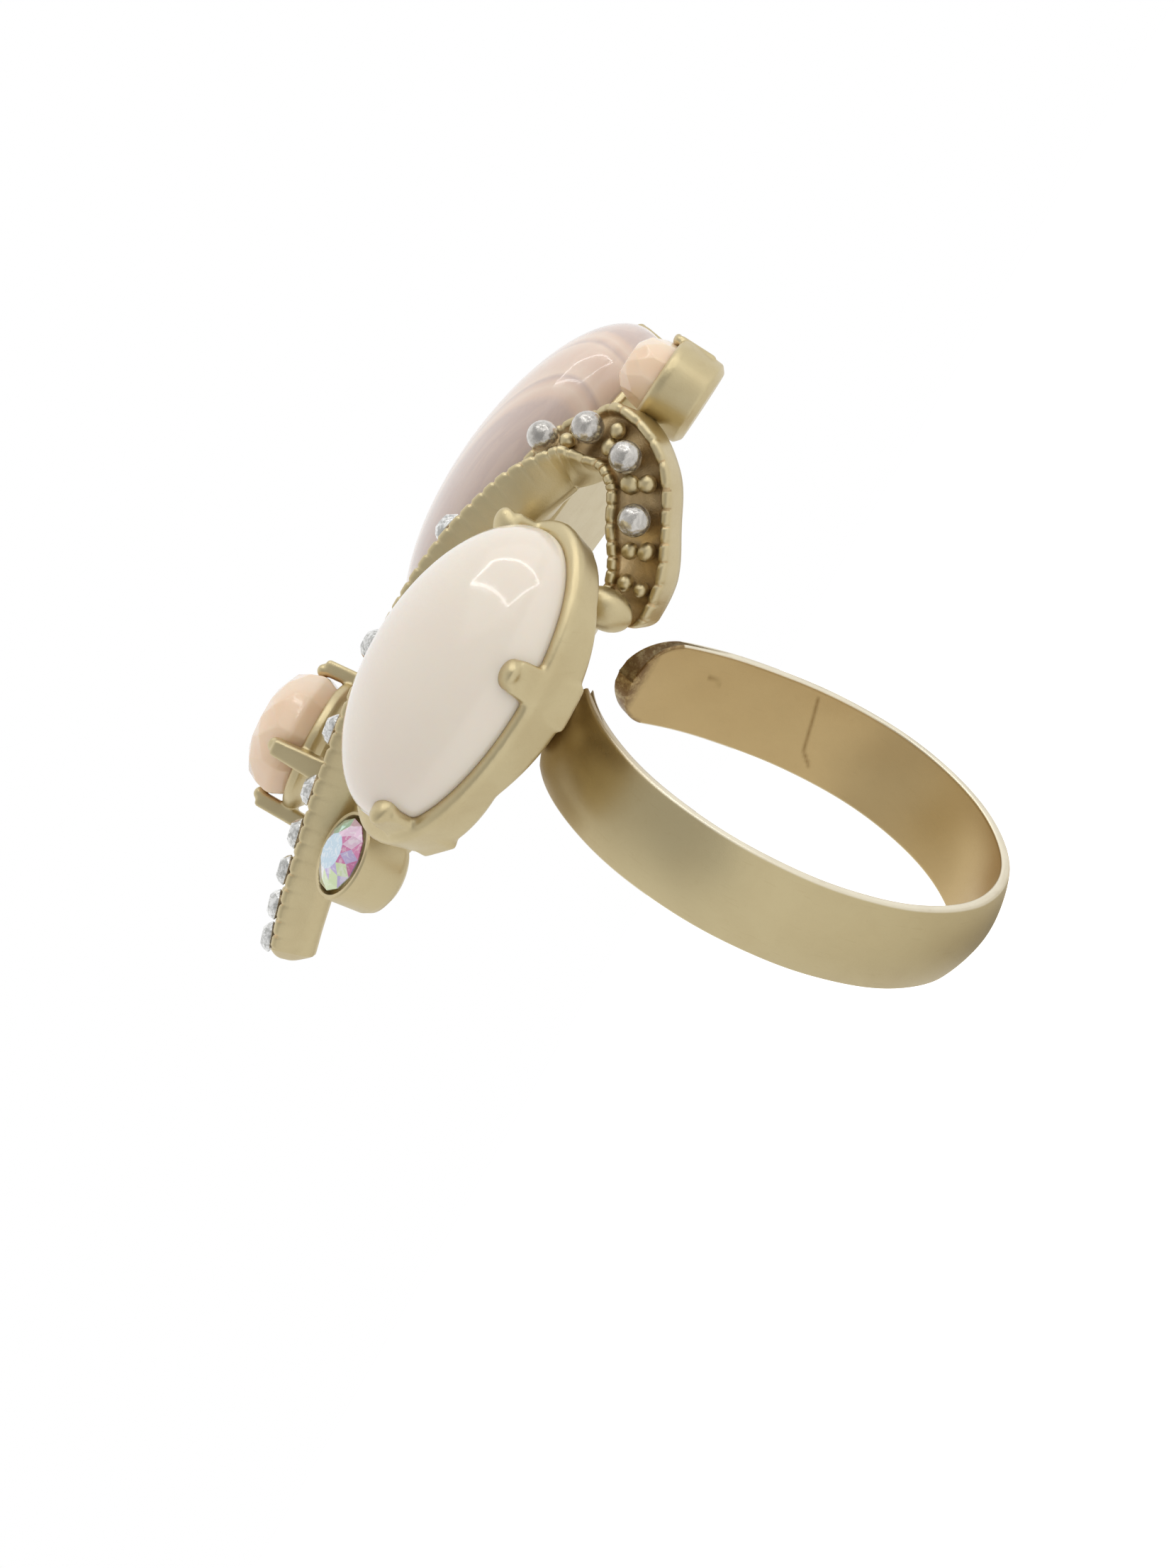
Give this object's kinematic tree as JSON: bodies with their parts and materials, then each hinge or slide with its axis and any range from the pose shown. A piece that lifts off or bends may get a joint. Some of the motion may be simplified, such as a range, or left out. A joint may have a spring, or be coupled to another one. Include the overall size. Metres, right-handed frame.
{
  "type": "cocktail ring",
  "caption": "Adjustable open-band cocktail ring with a satin gold cast head of oval cabochons, faceted stones, pearl beads and crystals around a scroll.",
  "frame": {"origin": "centre of the finger hole, on the finger's axis, at mid width of the band", "axes": "+Y along the finger, +Z towards the head, +X towards the soldered side of the band"},
  "size_m": [0.0279, 0.032, 0.0315],
  "materials": {
    "satin_gold": "satin pale champagne gold plate",
    "white_resin": "polished",
    "banded_agate": "polished",
    "peach_resin": "polished facets",
    "grey_pearl": "pearlescent",
    "clear_crystal": "polished facets",
    "iridescent_crystal": "polished facets with an iridescent coat"
  },
  "bodies": {
    "head_and_fixed_arm": {"shank_soldered_arm": "satin_gold", "scroll_channel": "satin_gold", "white_basket": "satin_gold", "agate_cup": "satin_gold", "upper_peach_box": "satin_gold", "lower_peach_claws": "satin_gold", "crystal_cup": "satin_gold", "head_bridge": "satin_gold", "white_stem": "satin_gold", "agate_stem": "satin_gold", "scroll_stem": "satin_gold", "lower_peach_stem": "satin_gold", "crystal_stem": "satin_gold", "white_cabochon": "white_resin", "agate_cabochon": "banded_agate", "upper_peach_stone": "peach_resin", "lower_peach_stone": "peach_resin", "crystal_stone": "iridescent_crystal", "pearl_1": "grey_pearl", "pearl_2": "grey_pearl", "pearl_3": "grey_pearl", "pearl_4": "grey_pearl", "rhinestone_1": "clear_crystal", "rhinestone_2": "clear_crystal", "rhinestone_3": "clear_crystal", "rhinestone_4": "clear_crystal", "rhinestone_5": "clear_crystal", "rhinestone_6": "clear_crystal", "rhinestone_7": "clear_crystal", "rhinestone_8": "clear_crystal"},
    "free_arm": {"shank_free_arm": "satin_gold"}
  },
  "joints": [
    {"name": "band_flex", "type": "hinge", "parent": "head_and_fixed_arm", "child": "free_arm", "pos_m": [0, 0, -0.0098], "axis": [0, -1, 0], "range_deg": [-2, 10]}
  ]
}
